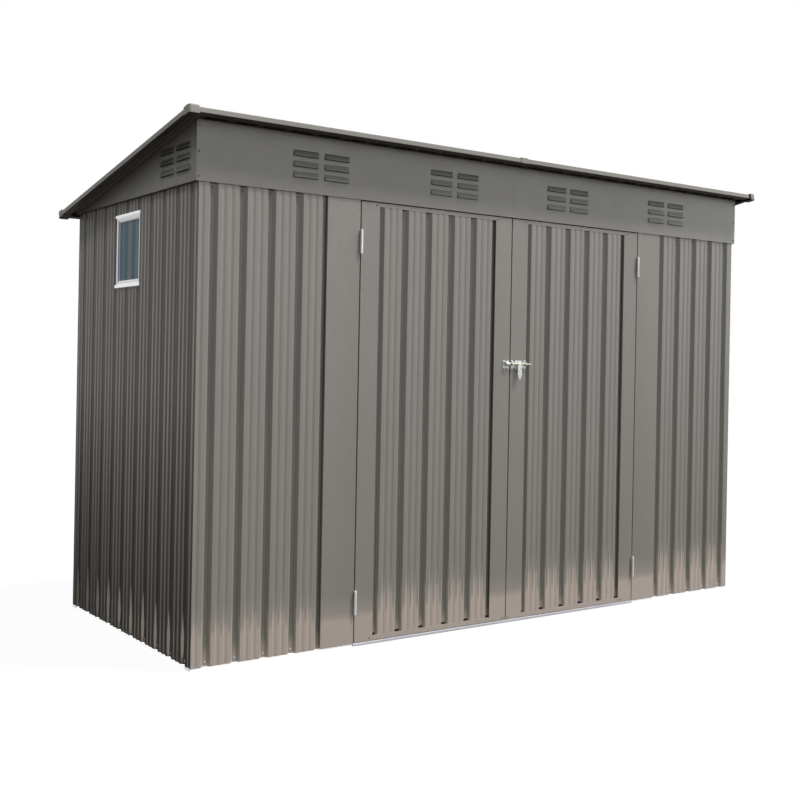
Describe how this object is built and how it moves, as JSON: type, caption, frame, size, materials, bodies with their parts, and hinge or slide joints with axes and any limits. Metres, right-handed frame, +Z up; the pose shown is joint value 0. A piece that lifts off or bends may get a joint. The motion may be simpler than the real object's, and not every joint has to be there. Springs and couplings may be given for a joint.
{
  "type": "metal storage shed",
  "caption": "Lean-to corrugated steel shed with a single-slope roof, louvred fascia, double hinged doors with a sliding bolt, and a small side window.",
  "frame": {"origin": "bottom centre of the whole shed's box, on the ground", "axes": "+Z up, the doors face -Y, +X is to the right of a person who faces the doors from outside, along the long side"},
  "size_m": [3.025, 1.286, 1.9298],
  "materials": {
    "wall_steel": "satin taupe-grey coated steel, corrugated",
    "trim_steel": "satin taupe-grey coated steel, smooth",
    "fascia_steel": "satin taupe-grey coated steel, pressed louvres",
    "cap_plastic": "moulded taupe-grey plastic",
    "galvanised": "galvanised steel, dull spangle",
    "latch_steel": "zinc-plated steel",
    "window_white": "white plastic, slight gloss",
    "window_pane": "clear pane"
  },
  "bodies": {
    "shed": {"base_rail_front": "galvanised", "base_rail_back": "galvanised", "base_rail_sides": "galvanised", "door_threshold": "galvanised", "corner_posts_front": "galvanised", "corner_posts_back": "galvanised", "door_post_left": "galvanised", "door_post_right": "galvanised", "door_header": "galvanised", "top_rail_back": "galvanised", "top_rail_sides": "galvanised", "wall_front_left": "wall_steel", "wall_front_right": "wall_steel", "wall_left": "wall_steel", "wall_right": "wall_steel", "wall_back": "wall_steel", "door_jamb_left": "trim_steel", "door_jamb_right": "trim_steel", "fascia_left": "fascia_steel", "fascia_right": "fascia_steel", "gable_left": "fascia_steel", "gable_right": "fascia_steel", "roof_sheet_left": "wall_steel", "roof_sheet_right": "wall_steel", "roof_rafter": "galvanised", "roof_trim_front": "trim_steel", "roof_trim_back": "trim_steel", "roof_trim_sides": "trim_steel", "roof_trim_connectors": "trim_steel", "roof_corner_caps": "cap_plastic", "window_frame": "window_white", "window_glass": "window_pane", "hinge_frame_knuckles": "latch_steel"},
    "door_left": {"door_left_sheet": "wall_steel", "door_left_frame": "trim_steel", "door_left_knuckles": "latch_steel", "latch_keeper": "latch_steel"},
    "door_right": {"door_right_sheet": "wall_steel", "door_right_frame": "trim_steel", "door_right_knuckles": "latch_steel", "latch_plate": "latch_steel"},
    "bolt": {"latch_bolt": "latch_steel"},
    "bolt_handle": {"latch_handle": "latch_steel"}
  },
  "joints": [
    {"name": "door_left_hinge", "type": "hinge", "parent": "shed", "child": "door_left", "pos_m": [-0.761, -0.57539, 0.85], "axis": [0, 0, -1], "range_deg": [0, 165]},
    {"name": "door_right_hinge", "type": "hinge", "parent": "shed", "child": "door_right", "pos_m": [0.761, -0.57539, 0.85], "axis": [0, 0, 1], "range_deg": [0, 165]},
    {"name": "bolt_slide", "type": "slide", "parent": "door_right", "child": "bolt", "axis": [-1, 0, 0], "range_m": [0, 0.026]},
    {"name": "bolt_handle_turn", "type": "hinge", "parent": "bolt", "child": "bolt_handle", "pos_m": [0.0435, -0.57679, 1.076], "axis": [-1, 0, 0], "range_deg": [0, 100]}
  ]
}
